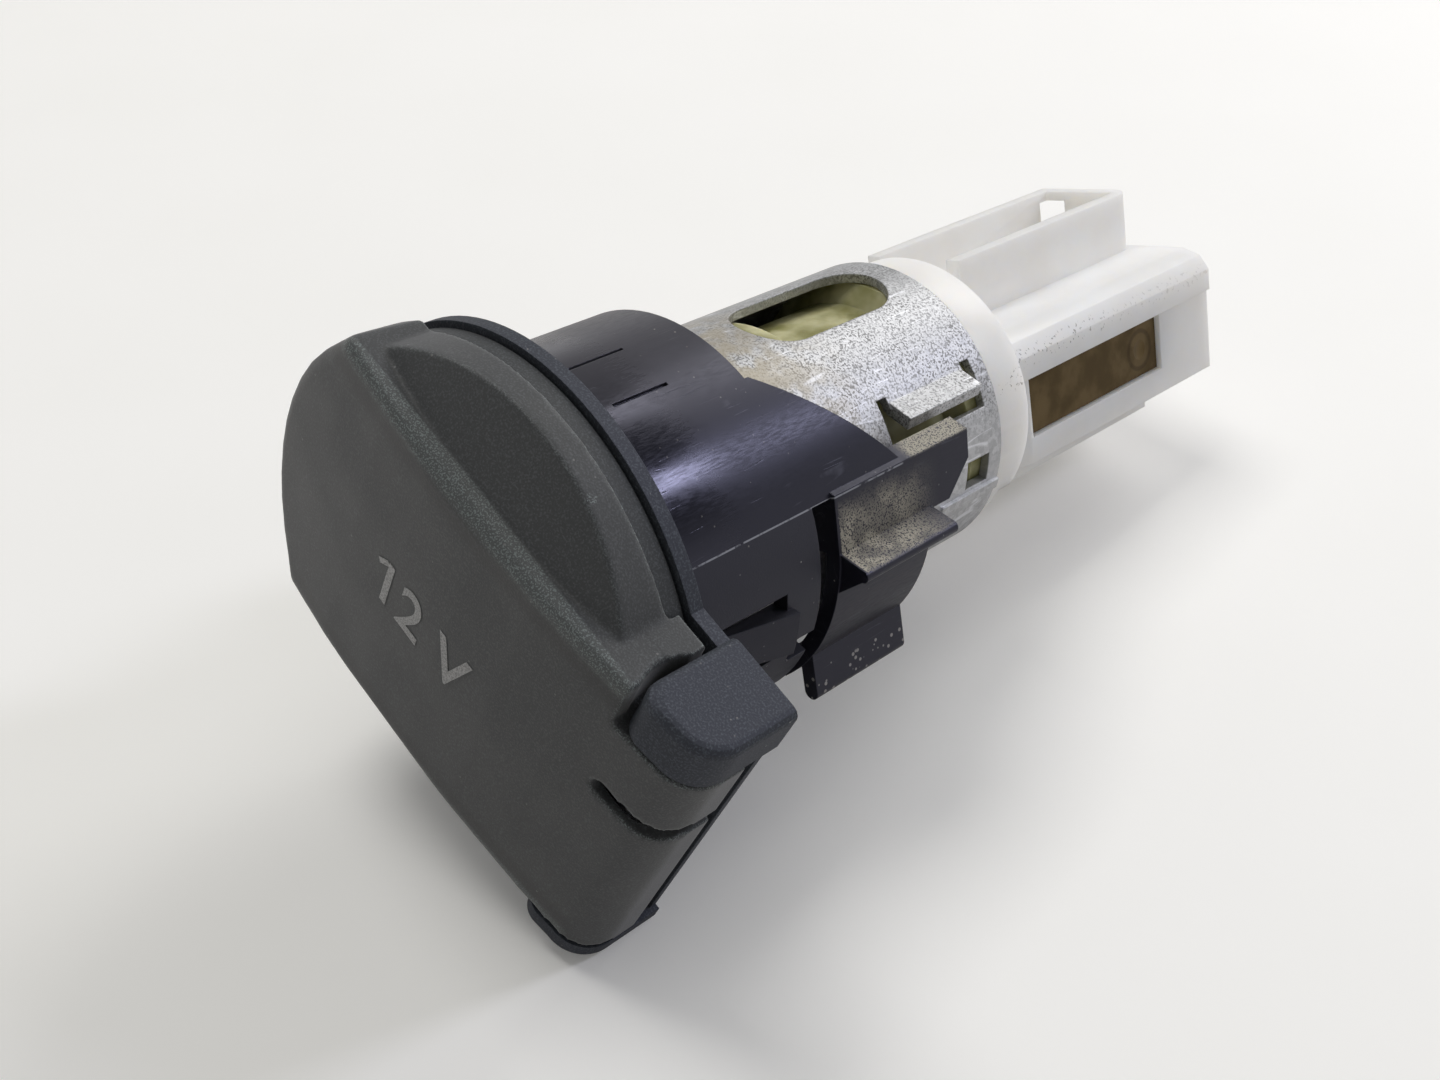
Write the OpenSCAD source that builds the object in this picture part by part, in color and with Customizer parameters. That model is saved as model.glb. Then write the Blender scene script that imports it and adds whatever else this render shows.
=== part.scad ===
// Car power socket with a sprung lid, in millimetres.
// The axis of the socket is Y. The lid faces -Y with its print upright in Z, and the origin
// is on the axis, in the rear face of the flange, which seats on the panel.
// Modules work in an axial frame: x to the right, y up, z to the rear. axial() turns it.

/* [Barrel] */
// Bore of the socket
bore_d = 21; // [20.6:0.1:21.4]
// Thickness of the sheet steel
barrel_wall = 0.95; // [0.7:0.05:1.1]
// Length from the front lip to the rear rim
barrel_len = 36.1; // [34:0.1:42]
// Length of the bore, up to the wider seat of the contact cup
bore_len = 20; // [17:0.1:20.4]
// Step from the bore to the seat, on the radius
seat_step = 0.25; // [0.2:0.05:0.3]
// How far the front lip stands out past the barrel
lip_out = 0.9; // [0.5:0.1:1]
// Length of the oblong windows
window_len = 13.6; // [8:0.1:15]
// Width of the oblong windows
window_w = 6.4; // [4:0.1:8]
// Distance from the windows to the rear rim
window_back = 2.3; // [1.5:0.1:4]
// Length of the bent tabs
tab_len = 8; // [5:0.1:9]
// How far the bent tabs stand out
tab_out = 1.3; // [0.6:0.1:1.6]

/* [Flange and sleeve] */
// How far the flange stands out past the cap
flange_out = 0.15; // [0.1:0.05:1.5]
// Thickness of the flange
flange_t = 1; // [0.8:0.05:1.2]
// Diameter of the sleeve, which fits the hole in the panel
sleeve_d = 28.2; // [27.4:0.1:29]
// Wall of the sleeve
sleeve_wall = 1.2; // [0.9:0.05:1.4]
// Length of the sleeve behind the panel seat
sleeve_len = 12.7; // [11:0.1:14]
// Width of the slot behind the sleeve
slot_w = 1.8; // [1:0.1:2.4]
// Length of the collar that holds the barrel
collar_len = 2.4; // [1.8:0.1:3]

/* [Clip arms] */
// Length of an arm along the socket
arm_len = 9.4; // [7:0.1:11]
// Length of the tongue at the root of an arm
tongue_len = 13.5; // [10:0.1:14]
// Thickness of the tongue
tongue_wall = 2; // [1.4:0.1:2.3]
// Height of the round rib
rib_h = 2.3; // [1.6:0.1:2.6]
// Height of the fin at the free end
fin_h = 3; // [1.5:0.1:3.2]

/* [Lid] */
// Diameter of the round cap
cap_d = 34.3; // [33.6:0.1:34.6]
// Height of the cap's edge above the panel seat
cap_edge = 2.55; // [2.4:0.05:2.8]
// Width of the raised band
band_w = 25.2; // [24.6:0.1:26]
// Height of the band's face above the panel seat
band_front = 8.4; // [8.1:0.1:9]
// Radius of the band's curved face
face_r = 119; // [100:1:200]
// How far the left end of the band stands out past the cap
band_out = 0.65; // [0.3:0.05:1.2]
// How far the hinge end of the band stands out past the cap
hinge_out = 3.25; // [3.15:0.05:3.6]
// Rounding along the band
edge_r = 1; // [0.6:0.1:1.4]
// Rounding of the hinge end
end_r = 2.8; // [2.4:0.1:3]
// Height of the finger scoops where they meet the band
scoop_front = 6.5; // [6.2:0.1:7]
// Slope of the finger scoops
scoop_tilt = 17; // [12:1:20]
// Rounding of the cap's rim
rim_r = 1.8; // [1:0.1:2.2]
// How far the carrier's skirt stands in from the cap
skirt_in = 0.25; // [0.15:0.05:0.6]
// Wall of the lid cover
cover_wall = 1.5; // [1.2:0.1:1.8]
// Diameter of the ring under the lid that covers the barrel's lip
lip_ring_d = 25; // [23:0.1:27]

/* [Hinge] */
// Diameter of the hinge pin
pin_d = 2; // [1.6:0.1:2.2]
// Distance of the pin past the cap's radius
pin_out = 0.15; // [0.05:0.05:0.35]
// Height of the pin above the panel seat
pin_front = 4.7; // [4.6:0.05:4.8]
// Diameter of the lid's knuckles
knuckle_d = 3.4; // [3.2:0.1:3.5]
// Wire of the lid spring
wire_d = 0.5; // [0.4:0.05:0.55]
// Turns of the lid spring
turns = 5; // [3:1:6]
// Distance of the ears' left edge inside the cap's radius
ear_in = 2.65; // [2.2:0.05:2.85]
// Rounding of the ears' left edge
ear_round = 1.6; // [1.2:0.1:1.8]
// How far the upper ear stands above the band
ear_up = 0.4; // [0:0.1:0.8]
// Thickness of the upper ear
ear_t = 3.6; // [3:0.1:4]
// Thickness of the lower ear
low_ear_t = 1.1; // [0.9:0.1:1.6]
// Width of the slit for the spring's leg
slit_w = 1.2; // [1:0.1:1.6]

/* [Contacts and connector] */
// Outer wall of the contact cup
cup_wall = 2.7; // [2.4:0.1:3.2]
// Depth of the waist round the cup, behind the windows
cup_waist = 1.4; // [0.8:0.1:1.6]
// Length of the contact cup
cup_len = 14.3; // [10:0.1:16]
// Thickness of the cup's floor
cup_floor = 1; // [0.8:0.1:1.6]
// Diameter of the centre contact
contact_d = 9; // [7:0.1:11]
// Diameter of the centre rivet
rivet_d = 3; // [2.4:0.1:3.6]
// Turn of the connector about the socket's axis
connector_turn = 41; // [36:1:46]
// Length of the connector behind the barrel
connector_len = 34.6; // [30:0.1:38]
// Width of the connector's body
connector_w = 16.7; // [16:0.1:17.4]
// Height of the connector's body
connector_h = 10.6; // [10.2:0.1:11.4]
// Wall of the connector
connector_wall = 1.3; // [1:0.1:1.6]
// Height of the latch trough
trough_h = 5; // [4.6:0.1:6]
// Thickness of the terminals
terminal_t = 0.8; // [0.6:0.1:1]
// Width of the terminals
terminal_w = 5; // [4:0.1:5.6]

/* [Clearances] */
// Gap between the closed lid and the housing
lid_gap = 0.25; // [0.2:0.05:0.35]
// Gap of the hinge pin in the knuckles, on the radius
pin_gap = 0.06; // [0.04:0.01:0.08]
// Gap of pieces that fit inside one another, on the radius
fit_gap = 0.08; // [0.05:0.01:0.1]

/* [Hidden] */
$fn = 72;
eps = 0.01;
through = 60;

bore_r = bore_d / 2;
seat_r = bore_r + seat_step;
barrel_r = bore_r + barrel_wall;
barrel_front = -flange_t;
barrel_back = barrel_front + barrel_len;
lip_r = barrel_r + lip_out;
sleeve_r = sleeve_d / 2;
sleeve_in = sleeve_r - sleeve_wall;
cap_r = cap_d / 2;
flange_r = cap_r + flange_out;
skirt_r = cap_r - skirt_in;
band_end = cap_r + band_out;
hinge_end = cap_r + hinge_out;
pin_x = cap_r + pin_out;
ear_x = cap_r - ear_in;
band_half = band_w / 2;
ear_high = band_half + ear_up;
ear_low = ear_high - ear_t;
pin_r = pin_d / 2;
knuckle_r = knuckle_d / 2;
wire_r = wire_d / 2;
rivet_r = rivet_d / 2;

// Angles about the socket's axis run from +x towards +y.
slot_to = 50;
ramp_to = 88;
ramp_len = 8.6;
ramp_run = sleeve_r * sin(ramp_to - slot_to);
ramp_fall = atan(ramp_len / ramp_run);
arm_start = sleeve_len + slot_w;
arm_free = -19;
tongue_low = 33;
rib_at = 30.3;
rib_low = 22;
fin_at = -4;
fin_turn = 46;
latch_from = 12.5;
latch_to = 26;
latch_front = 3.9;
latch_len = 6.2;
// The hidden ramp and arm, seen from the front, are this far round from the others.
arm_turns = [0, 200];
groove_angles = [112.3, 95.3];
window_angle = 116;
tab_angle = 50;
tab_span = 13.8;
small_window_angle = 21;
small_window_span = 11.3;
small_window_len = 2.5;
tab_bend = 50;
cut_back = 1.4;
notch_w = 1;
tab_front = barrel_back - cut_back - tab_len - 2 * notch_w;
seam_angle = 17.5;
seam_len = 6.5;

function face(x) = band_front - x * x / (2 * face_r);

// The pocket in the flange clears the lid's rear corner as it swings, and the lid is cut back
// about the pin to clear the upper ear.
cover_back = 2.3;
end_x = hinge_end - end_r;
corner_reach = norm([hinge_end - pin_x, pin_front - cover_back]);
ear_reach = ear_round + norm([pin_x - ear_x - ear_round, face(ear_x) - ear_round - pin_front]);
pocket_floor = pin_front - corner_reach - lid_gap;
ear_edge_r = 0.6;
block_left = 11;
block_inset = 0.4;
block_right = hinge_end - block_inset;
low_ear_high = -(band_half + lid_gap - 0.2);
low_ear_low = low_ear_high - low_ear_t;
lid_high = ear_low - lid_gap;
lid_low = low_ear_high + lid_gap;
lid_left = ear_x - lid_gap;
slit_y = 3.4;
slit_x = pin_x - 1.8;
leg_x = pin_x - 8.1;
rivet_gap = 0.05;
dome_h = 1.2;
coil_r = pin_r + 0.2 + wire_r;
coil_pitch = wire_d + 0.15;
coil_low = slit_y - turns * coil_pitch;

plug_front = barrel_back - 0.8;
cup_back = plug_front;
cup_front = cup_back - cup_len;
cup_r = seat_r - fit_gap;
base_back = barrel_back + 3.4;
body_front = barrel_back + 3;
body_back = barrel_back + connector_len;
body_right = 8;
body_left = body_right - connector_w;
body_high = 4;
body_low = body_high - connector_h;
ledge_low = 0.4;
ledge_high = 2.2;
side_right = body_right - 0.3;
trough_right = 0.9;
trough_front = barrel_back + 10;
side_window_front = barrel_back + 8.6;
side_window_len = 18.4;
side_window_h = 4.8;
foot_w = 2.6;
cavity_left = body_left + connector_wall;
cavity_right = body_right - connector_wall - 0.3;
cavity_low = body_low + connector_wall;
cavity_high = body_high - connector_wall;
terminal_mid = (cavity_low + cavity_high) / 2 - 0.8;
blade_left = -3.8;
terminal_back = body_back - 6;

// Turns the axial frame into the row's frame, so that z runs along Y and y along Z.
module axial() rotate([-90, 0, 0]) mirror([0, 1, 0]) children();

// Extrudes a profile drawn with x to the right and the height above the seat upward.
module across(low, high) {
    translate([0, low, 0]) rotate([-90, 0, 0]) linear_extrude(high - low) children();
}

// A tube about the socket's axis.
module tube(outer, inner, front, back) {
    translate([0, 0, front]) difference() {
        cylinder(r = outer, h = back - front);
        translate([0, 0, -eps]) cylinder(r = inner, h = back - front + 2 * eps);
    }
}

// A wedge between two angles, less than half a turn apart, from the axis outward.
module wedge(from, to, front, back, reach = 30) {
    mid = (from + to) / 2;
    points = [[0, 0], for (a = [from, mid, to]) reach * [cos(a), sin(a)]];
    translate([0, 0, front]) linear_extrude(back - front) polygon(points);
}

// A block that lies along the axis at an angle, between two radii.
module spoke(angle, width, r0, r1, front, back) {
    rotate([0, 0, angle]) translate([r0, -width / 2, front]) cube([r1 - r0, width, back - front]);
}

// Side profile of the hinge end, shared by the ears and the lid.
module end_profile(left, low = 0) {
    translate([end_x, face(end_x) - end_r]) circle(end_r);
    polygon(concat(
        [for (i = [0:4]) let (x = left + i * (end_x - left) / 4) [x, face(x)]],
        [[hinge_end, face(end_x) - end_r], [hinge_end, low], [left, low]]));
}

// The ears' profile, with a rounded left edge, standing on the flange.
module ear_profile(inset = 0) {
    intersection() {
        offset(r = ear_round) offset(delta = -ear_round - inset) end_profile(ear_x, -4);
        square([hinge_end, band_front]);
    }
}

// Pin bore through everything on the hinge axis.
module pin_bore(r) {
    translate([0, low_ear_low - 1, 0]) rotate([-90, 0, 0]) translate([pin_x, pin_front, 0])
        cylinder(r = r, h = ear_high + abs(low_ear_low));
}

module upper_ear() {
    intersection() {
        hull() for (a = [0, 30, 60, 90]) {
            inset = ear_edge_r * (1 - cos(a));
            top = ear_high - ear_edge_r * (1 - sin(a));
            across(ear_low, top) ear_profile(inset);
        }
        translate([ear_x, ear_low, -through]) cube([through, through, through]);
    }
}

module flange_outline() {
    circle(flange_r);
    block_high = ear_high - ear_edge_r;
    translate([block_left, low_ear_low]) square([block_right - block_left, block_high - low_ear_low]);
}

// A point at an angle and a distance from the socket's axis.
function polar(angle, r) = r * [cos(angle), sin(angle)];

// The tongue's upper corner stands a little proud, and its inner side clears the barrel.
module tongue_profile() {
    tongue_in = sleeve_r - tongue_wall;
    polygon([polar(tongue_low, sleeve_r), polar(slot_to + 0.6, sleeve_r + 0.35),
        polar(slot_to + 4.5, sleeve_r - 0.9), polar(slot_to + 3, tongue_in),
        polar((slot_to + tongue_low) / 2, tongue_in), polar(tongue_low, tongue_in)]);
}

// The rib sweeps up from the tongue to a round crest, and falls off steeply.
module rib_profile() {
    crest_r = 0.45;
    crest = sleeve_r + rib_h - crest_r;
    root = sleeve_in + 0.3;
    polygon([polar(tongue_low + 1, sleeve_r - 0.2), polar(rib_at + 1.6, crest),
        polar(rib_at - 1.6, crest), polar(rib_low, sleeve_r), polar(rib_low, root),
        polar(tongue_low + 1, root)]);
    rotate([0, 0, rib_at]) translate([crest, 0]) circle(crest_r);
}

module fin_profile() {
    fin_t = 1.2;
    reach = fin_h + sleeve_wall;
    rotate([0, 0, fin_at]) translate([sleeve_in + 0.3, 0]) rotate([0, 0, -fin_turn]) {
        translate([0, -fin_t / 2]) square([reach - fin_t / 2, fin_t]);
        translate([reach - fin_t / 2, 0]) circle(fin_t / 2);
    }
}

// One clip arm, sprung from the end of the ramp, with its tongue, rib and fin.
module clip_arm() {
    step = 0.1;
    chamfer = 3.2;
    intersection() {
        tube(sleeve_r, sleeve_in, arm_start, arm_start + arm_len);
        wedge(arm_free, tongue_low + 1, arm_start, arm_start + arm_len);
    }
    difference() {
        translate([0, 0, arm_start]) linear_extrude(tongue_len) tongue_profile();
        translate([0, 0, arm_start + tongue_len]) rotate([0, 0, tongue_low])
            translate([sleeve_r, 0, 0]) rotate([45, 0, 0]) cube([8, chamfer, chamfer], center = true);
    }
    translate([0, 0, arm_start + step]) linear_extrude(arm_len - 2 * step) rib_profile();
    translate([0, 0, arm_start + step]) linear_extrude(arm_len - 2 * step) fin_profile();
}

// Everything above the straight ramp that carries an arm.
module above_ramp() {
    lift = 0.3;
    intersection() {
        wedge(slot_to - 2, ramp_to + 0.2, sleeve_len - 1, sleeve_len + ramp_len + 2);
        rotate([0, 0, ramp_to]) translate([sleeve_r, 0, sleeve_len + lift])
            rotate([-ramp_fall, 0, 0]) translate([-20, -30, 0]) cube([40, 60, 30]);
    }
}

module latch_window() {
    wedge(10, 31, latch_front - 0.6, latch_front + latch_len - 0.5);
}

// The wedge of the snap latch, rising to the rear inside its window.
module latch() {
    latch_back = latch_front + latch_len;
    intersection() {
        wedge(latch_from, latch_to, latch_front, latch_back + 0.5);
        translate([0, 0, latch_front])
            cylinder(r1 = sleeve_in + 0.4, r2 = sleeve_r + 0.7, h = latch_len);
        tube(sleeve_r + 2, sleeve_in, latch_front, latch_back);
    }
}

module sleeve() {
    notch_angle = 9;
    notch_size = 2;
    line_w = 0.25;
    full_len = sleeve_len + ramp_len;
    difference() {
        tube(sleeve_r, sleeve_in, -eps, full_len);
        wedge(ramp_to, arm_turns[1] + slot_to, sleeve_len, full_len + 1);
        wedge(arm_turns[1] + ramp_to, 360 + slot_to, sleeve_len, full_len + 1);
        for (turn = arm_turns) rotate([0, 0, turn]) above_ramp();
        latch_window();
        spoke(notch_angle, notch_size, sleeve_in - 1, sleeve_r + 1, sleeve_len - notch_size, sleeve_len + 1);
        for (a = groove_angles)
            spoke(a, line_w, sleeve_r - line_w, sleeve_r + 1, 3.2, 7.6);
    }
}

module housing() color([0.13, 0.13, 0.16]) axial() difference() {
    union() {
        translate([0, 0, -flange_t]) linear_extrude(flange_t) flange_outline();
        upper_ear();
        across(low_ear_low, low_ear_high) ear_profile();
        tube(sleeve_in + eps, barrel_r + fit_gap, -flange_t, collar_len);
        sleeve();
        latch();
        for (turn = arm_turns) rotate([0, 0, turn]) clip_arm();
    }
    translate([0, 0, -flange_t - eps]) cylinder(r = barrel_r + fit_gap, h = flange_t + 2 * eps);
    translate([0, 0, -flange_t - eps]) cylinder(r = lip_r + fit_gap, h = barrel_wall + eps);
    translate([lid_left - 0.3, low_ear_high, -through - pocket_floor])
        cube([block_right, ear_low - low_ear_high, through]);
    pin_bore(pin_r + 0.01);
}

module barrel() color([0.74, 0.75, 0.78]) axial() {
    difference() {
        union() {
            difference() {
                translate([0, 0, barrel_front]) cylinder(r = barrel_r, h = barrel_len);
                for (turn = arm_turns) rotate([0, 0, turn]) barrel_cuts();
            }
            translate([0, 0, barrel_front]) cylinder(r = lip_r, h = barrel_wall);
            for (turn = arm_turns) rotate([0, 0, turn]) tab();
            spoke(seam_angle, 0.8, barrel_r - 0.3, barrel_r + 0.25,
                  barrel_back - 0.1 - seam_len, barrel_back - 0.1);
        }
        translate([0, 0, barrel_front - 1]) cylinder(r = bore_r, h = barrel_len);
        translate([0, 0, barrel_front + bore_len]) cylinder(r = seat_r, h = barrel_len);
    }
}

// The oblong window, the opening under the bent tab with a notch at each end, and the small one.
module barrel_cuts() {
    back = barrel_back - cut_back;
    top = tab_angle + tab_span;
    rotate([0, 0, window_angle]) rotate([0, 90, 0])
        linear_extrude(lip_r) oblong(barrel_back - window_back - window_len);
    wedge(tab_angle, top, tab_front, back);
    wedge(top - 2, top + 4.5, tab_front, tab_front + notch_w);
    wedge(top - 2, top + 4.5, back - notch_w, back);
    wedge(small_window_angle, small_window_angle + small_window_span, back - small_window_len, back);
}

// Outline of an oblong window, with its length along the barrel.
module oblong(front) {
    end = window_w / 2;
    translate([-front - end, 0]) circle(end);
    translate([-front - window_len + end, 0]) circle(end);
    translate([-front - window_len + end, -end]) square([window_len - window_w, window_w]);
}

// A tab bent outward along the upper side of its window.
module tab() {
    step = 0.1;
    rotate([0, 0, tab_angle + tab_span]) translate([barrel_r - 0.15, 0.6, tab_front + notch_w + step])
        rotate([0, 0, -tab_bend]) translate([0, -barrel_wall, 0])
            cube([barrel_wall + tab_out, barrel_wall, tab_len - 2 * step]);
}

module contact_cup() color([0.80, 0.80, 0.58]) axial() {
    inner = cup_r - cup_wall;
    hole = rivet_r + rivet_gap;
    floor_front = cup_back - cup_floor;
    lead = 1.2;
    front_ring = cup_front + 2;
    rear_ring = cup_back - 2.2;
    waist = cup_r - cup_waist;
    difference() {
        rotate_extrude() polygon([[hole, floor_front], [inner, floor_front],
            [inner, cup_front + lead], [inner + 0.4, cup_front], [cup_r - 0.5, cup_front],
            [cup_r, cup_front + 0.6], [cup_r, front_ring - 0.5], [waist, front_ring + 0.5],
            [waist, rear_ring - 0.5], [cup_r, rear_ring + 0.5], [cup_r, cup_back], [hole, cup_back]]);
        rotate([0, 0, connector_turn]) earth_slot();
    }
}

// Way through the cup's edge and the connector's base for the earth terminal's bent foot.
module earth_slot() {
    left = cavity_right - terminal_t - 0.1;
    right = cavity_right;
    width = 2.8;
    front = barrel_back - 0.85;
    translate([0, terminal_mid + width / 2, 0]) rotate([90, 0, 0]) linear_extrude(width)
        polygon([[left, front], [through, front], [through, barrel_back], [right, barrel_back],
            [right, base_back + 1], [left, base_back + 1]]);
}

module centre_contact() color([0.72, 0.58, 0.30]) axial() {
    back = cup_back - cup_floor;
    edge = contact_d / 2;
    hole = rivet_r + rivet_gap;
    translate([0, 0, back]) rotate_extrude() polygon([[hole, 0], [edge, 0],
        [edge, -dome_h * 0.4], [edge - 0.6, -dome_h * 0.75], [hole, -dome_h]]);
}

module centre_rivet() color([0.78, 0.76, 0.70]) axial() {
    front = cup_back - cup_floor - dome_h;
    back = base_back + terminal_t;
    head_h = 0.8;
    head_r = rivet_r + 0.9;
    edge_step = 0.5;
    translate([0, 0, front]) cylinder(r = rivet_r, h = back - front);
    translate([0, 0, front - head_h]) cylinder(r1 = head_r - edge_step, r2 = head_r, h = head_h);
    translate([0, 0, back]) cylinder(r1 = head_r, r2 = head_r - edge_step, h = head_h);
}

// Outline of the connector's body, with the ledge along its right side.
module body_outline() {
    polygon([[body_left, body_low], [side_right, body_low], [side_right, ledge_low],
        [body_right, ledge_low], [body_right, ledge_high], [body_right - 0.8, body_high - 0.6],
        [body_right - 2.4, body_high], [body_left, body_high]]);
}

module connector_body() color([0.93, 0.93, 0.91]) axial() rotate([0, 0, connector_turn]) {
    body_len = body_back - body_front;
    rail_h = 1.4;
    difference() {
        union() {
            translate([0, 0, plug_front]) cylinder(r = cup_r, h = base_back + 1 - plug_front);
            translate([0, 0, body_front]) linear_extrude(body_len) body_outline();
            trough();
            translate([body_left + rail_h, body_low - rail_h, body_front + 1])
                cube([connector_w - 2.4 * rail_h, rail_h + eps, body_len - 9]);
        }
        translate([cavity_left, cavity_low, base_back])
            cube([cavity_right - cavity_left, cavity_high - cavity_low, through]);
        translate([cavity_right - 1, terminal_mid - side_window_h / 2, side_window_front])
            cube([through, side_window_h, side_window_len]);
        translate([0, 0, plug_front - eps]) cylinder(r = rivet_r + rivet_gap, h = connector_len);
        earth_slot();
        front_corner(body_right, side_window_front - 2.2, ledge_low, body_high + 1);
        front_corner(side_right, side_window_front - 0.4, body_low - 2, ledge_low + eps);
    }
}

// Cuts the front right corner of the body away, between two heights, in front of an edge.
module front_corner(right, edge, low, high) {
    run = edge - body_front + eps;
    translate([0, high, 0]) rotate([90, 0, 0]) linear_extrude(high - low)
        polygon([[right - run * 0.7, body_front - eps], [right + 0.5, body_front - eps],
            [right + 0.5, edge + 0.7], [right, edge], [right - run * 0.25, edge - run * 0.6]]);
}

// Latch trough on top of the body, open above and closed at the rear, with a round rear corner.
module trough() {
    wall = connector_wall;
    width = trough_right - body_left;
    length = body_back - trough_front;
    corner_r = 2.2;
    gap_low = 2;
    gap_h = 2.2;
    difference() {
        union() {
            translate([body_left, body_high - eps, trough_front])
                cube([width - corner_r, trough_h, length]);
            translate([body_left, body_high - eps, trough_front])
                cube([width, trough_h, length - corner_r]);
            translate([trough_right - corner_r, body_high - eps, body_back - corner_r])
                rotate([-90, 0, 0]) cylinder(r = corner_r, h = trough_h);
        }
        translate([body_left + wall, body_high, trough_front - eps])
            cube([width - 2 * wall, trough_h + 1, length - wall]);
        translate([body_left - 1, body_high + gap_low, body_back - 2.4]) cube([4.2, gap_h, 4]);
    }
}

module centre_terminal() color([0.66, 0.54, 0.30]) axial() rotate([0, 0, connector_turn]) difference() {
    tip = 1.6;
    half = terminal_w / 2 + 0.1;
    tip_half = half - 1;
    union() {
        translate([blade_left, -half, base_back]) cube([half - blade_left, 2 * half, terminal_t]);
        translate([blade_left, 0, 0]) rotate([0, 90, 0]) linear_extrude(terminal_t)
            polygon([[-base_back, -half], [-terminal_back + tip, -half], [-terminal_back, -tip_half],
                [-terminal_back, tip_half], [-terminal_back + tip, half], [-base_back, half]]);
    }
    translate([0, 0, base_back - 1]) cylinder(r = rivet_r + rivet_gap, h = 4);
}

// Strip from the barrel's wall along the connector, with a pad that fills the side window.
module earth_terminal() color([0.60, 0.49, 0.28]) axial() rotate([0, 0, connector_turn]) {
    left = cavity_right - terminal_t;
    foot_front = barrel_back - 0.8;
    pad_gap = 0.15;
    pad_right = side_right - 0.4;
    pad_h = side_window_h - 2 * pad_gap;
    dimple_r = 2.4;
    difference() {
        union() {
            translate([left, terminal_mid - terminal_w / 2, base_back + 0.2])
                cube([terminal_t, terminal_w, terminal_back - base_back]);
            translate([left, terminal_mid - pad_h / 2, side_window_front + pad_gap])
                cube([pad_right - left, pad_h, side_window_len - 2 * pad_gap]);
            translate([left, terminal_mid - foot_w / 2, foot_front])
                cube([terminal_t, foot_w, base_back - barrel_back + 1.2]);
            intersection() {
                translate([left, terminal_mid - foot_w / 2, foot_front]) cube([9, foot_w, terminal_t]);
                cylinder(r = seat_r - 0.02, h = through);
            }
        }
        translate([pad_right + dimple_r - 0.15, terminal_mid, side_window_front + side_window_len - 2.6])
            sphere(r = dimple_r);
    }
}

// Plan of the band, with its left end concentric with the cap.
function plan_end() = let (a0 = 180 - asin(band_half / band_end))
    [for (i = [0:12]) let (a = a0 + i * 2 * (180 - a0) / 12) a];

module band() {
    ball = edge_r;
    inner_y = band_half - ball;
    left = -band_end * cos(asin(band_half / band_end));
    hull() {
        for (a = plan_end()) {
            x = (band_end - ball) * cos(a);
            y = max(-inner_y, min(inner_y, (band_end - ball) * sin(a)));
            translate([x, y, ball - face(x)]) sphere(r = ball, $fn = 20);
        }
        for (side = [-1, 1], i = [0:6]) {
            x = left + i * (pin_x - 1 - left) / 6;
            translate([x, side * inner_y, ball - face(x)]) sphere(r = ball, $fn = 20);
        }
        across(-band_half, band_half) translate([end_x, face(end_x) - end_r]) circle(end_r, $fn = 48);
        translate([0, 0, -cap_edge - 0.1]) linear_extrude(0.1) polygon(concat(
            [for (a = plan_end()) band_end * [cos(a), sin(a)]],
            [[hinge_end, -band_half], [hinge_end, band_half]]));
        translate([end_x, -band_half, -cover_back - 0.1]) cube([end_r, band_w, 0.1]);
    }
}

// Half of the cap, with its sloping finger scoop above the band.
module cap_half() {
    dome_r = 80;
    intersection() {
        rotate_extrude() polygon(concat([[0, -cap_edge], [cap_r, -cap_edge]],
            [for (a = [0:15:75]) [cap_r - rim_r + rim_r * cos(a), -4 - rim_r * sin(a)]],
            [[12, -7.2], [0, -7.2]]));
        translate([0, band_half - 0.2, -scoop_front]) rotate([scoop_tilt, 0, 0])
            translate([0, 20, dome_r]) rotate([90, 0, 0]) cylinder(r = dome_r, h = 40, $fn = 180);
        translate([-30, 0, -20]) cube([60, 30, 20]);
    }
}

module cover_hollow() {
    pocket_high = lid_high - cover_wall;
    pocket_low = lid_low + cover_wall;
    pocket_r = knuckle_r + 0.12;
    pocket_left = ear_x - 4.5;
    rim_h = 1.7;
    hollow_left = -cap_r + 2.55;
    hollow_front = -band_front + cover_wall + 0.4;
    translate([0, 0, -cap_edge - rim_h]) cylinder(r = cap_r - cover_wall, h = rim_h + eps);
    translate([hollow_left, -band_half + cover_wall + 0.3, hollow_front])
        cube([pin_x - 3.9 - hollow_left, band_w - 2 * cover_wall - 0.6, -cap_edge + eps - hollow_front]);
    across(pocket_low, pocket_high) translate([pin_x, pin_front]) circle(pocket_r);
    translate([pocket_left, pocket_low, -pin_front - pocket_r])
        cube([pin_x - pocket_left, pocket_high - pocket_low, pin_front + pocket_r]);
    translate([pocket_left, pocket_low, -pin_front])
        cube([pin_x + pocket_r - pocket_left, pocket_high - pocket_low, pin_front]);
}

module lid_cover() color([0.20, 0.21, 0.22]) axial() difference() {
    union() {
        cap_half();
        mirror([0, 1, 0]) cap_half();
        band();
    }
    translate([lid_left, lid_high, -through]) cube([through, through, through]);
    translate([lid_left, lid_low - through, -through]) cube([through, through, through]);
    translate([0, 0, -cap_edge]) cylinder(r = cap_r, h = through);
    across(lid_high, ear_high) translate([pin_x, pin_front]) circle(ear_reach + lid_gap);
    cover_hollow();
    pin_bore(pin_r + 0.15);
    translate([slit_x, slit_y - slit_w / 2, -through]) cube([through, slit_w, through]);
    translate([slit_x, slit_y, -through]) cylinder(r = slit_w / 2, h = through);
}

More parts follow.
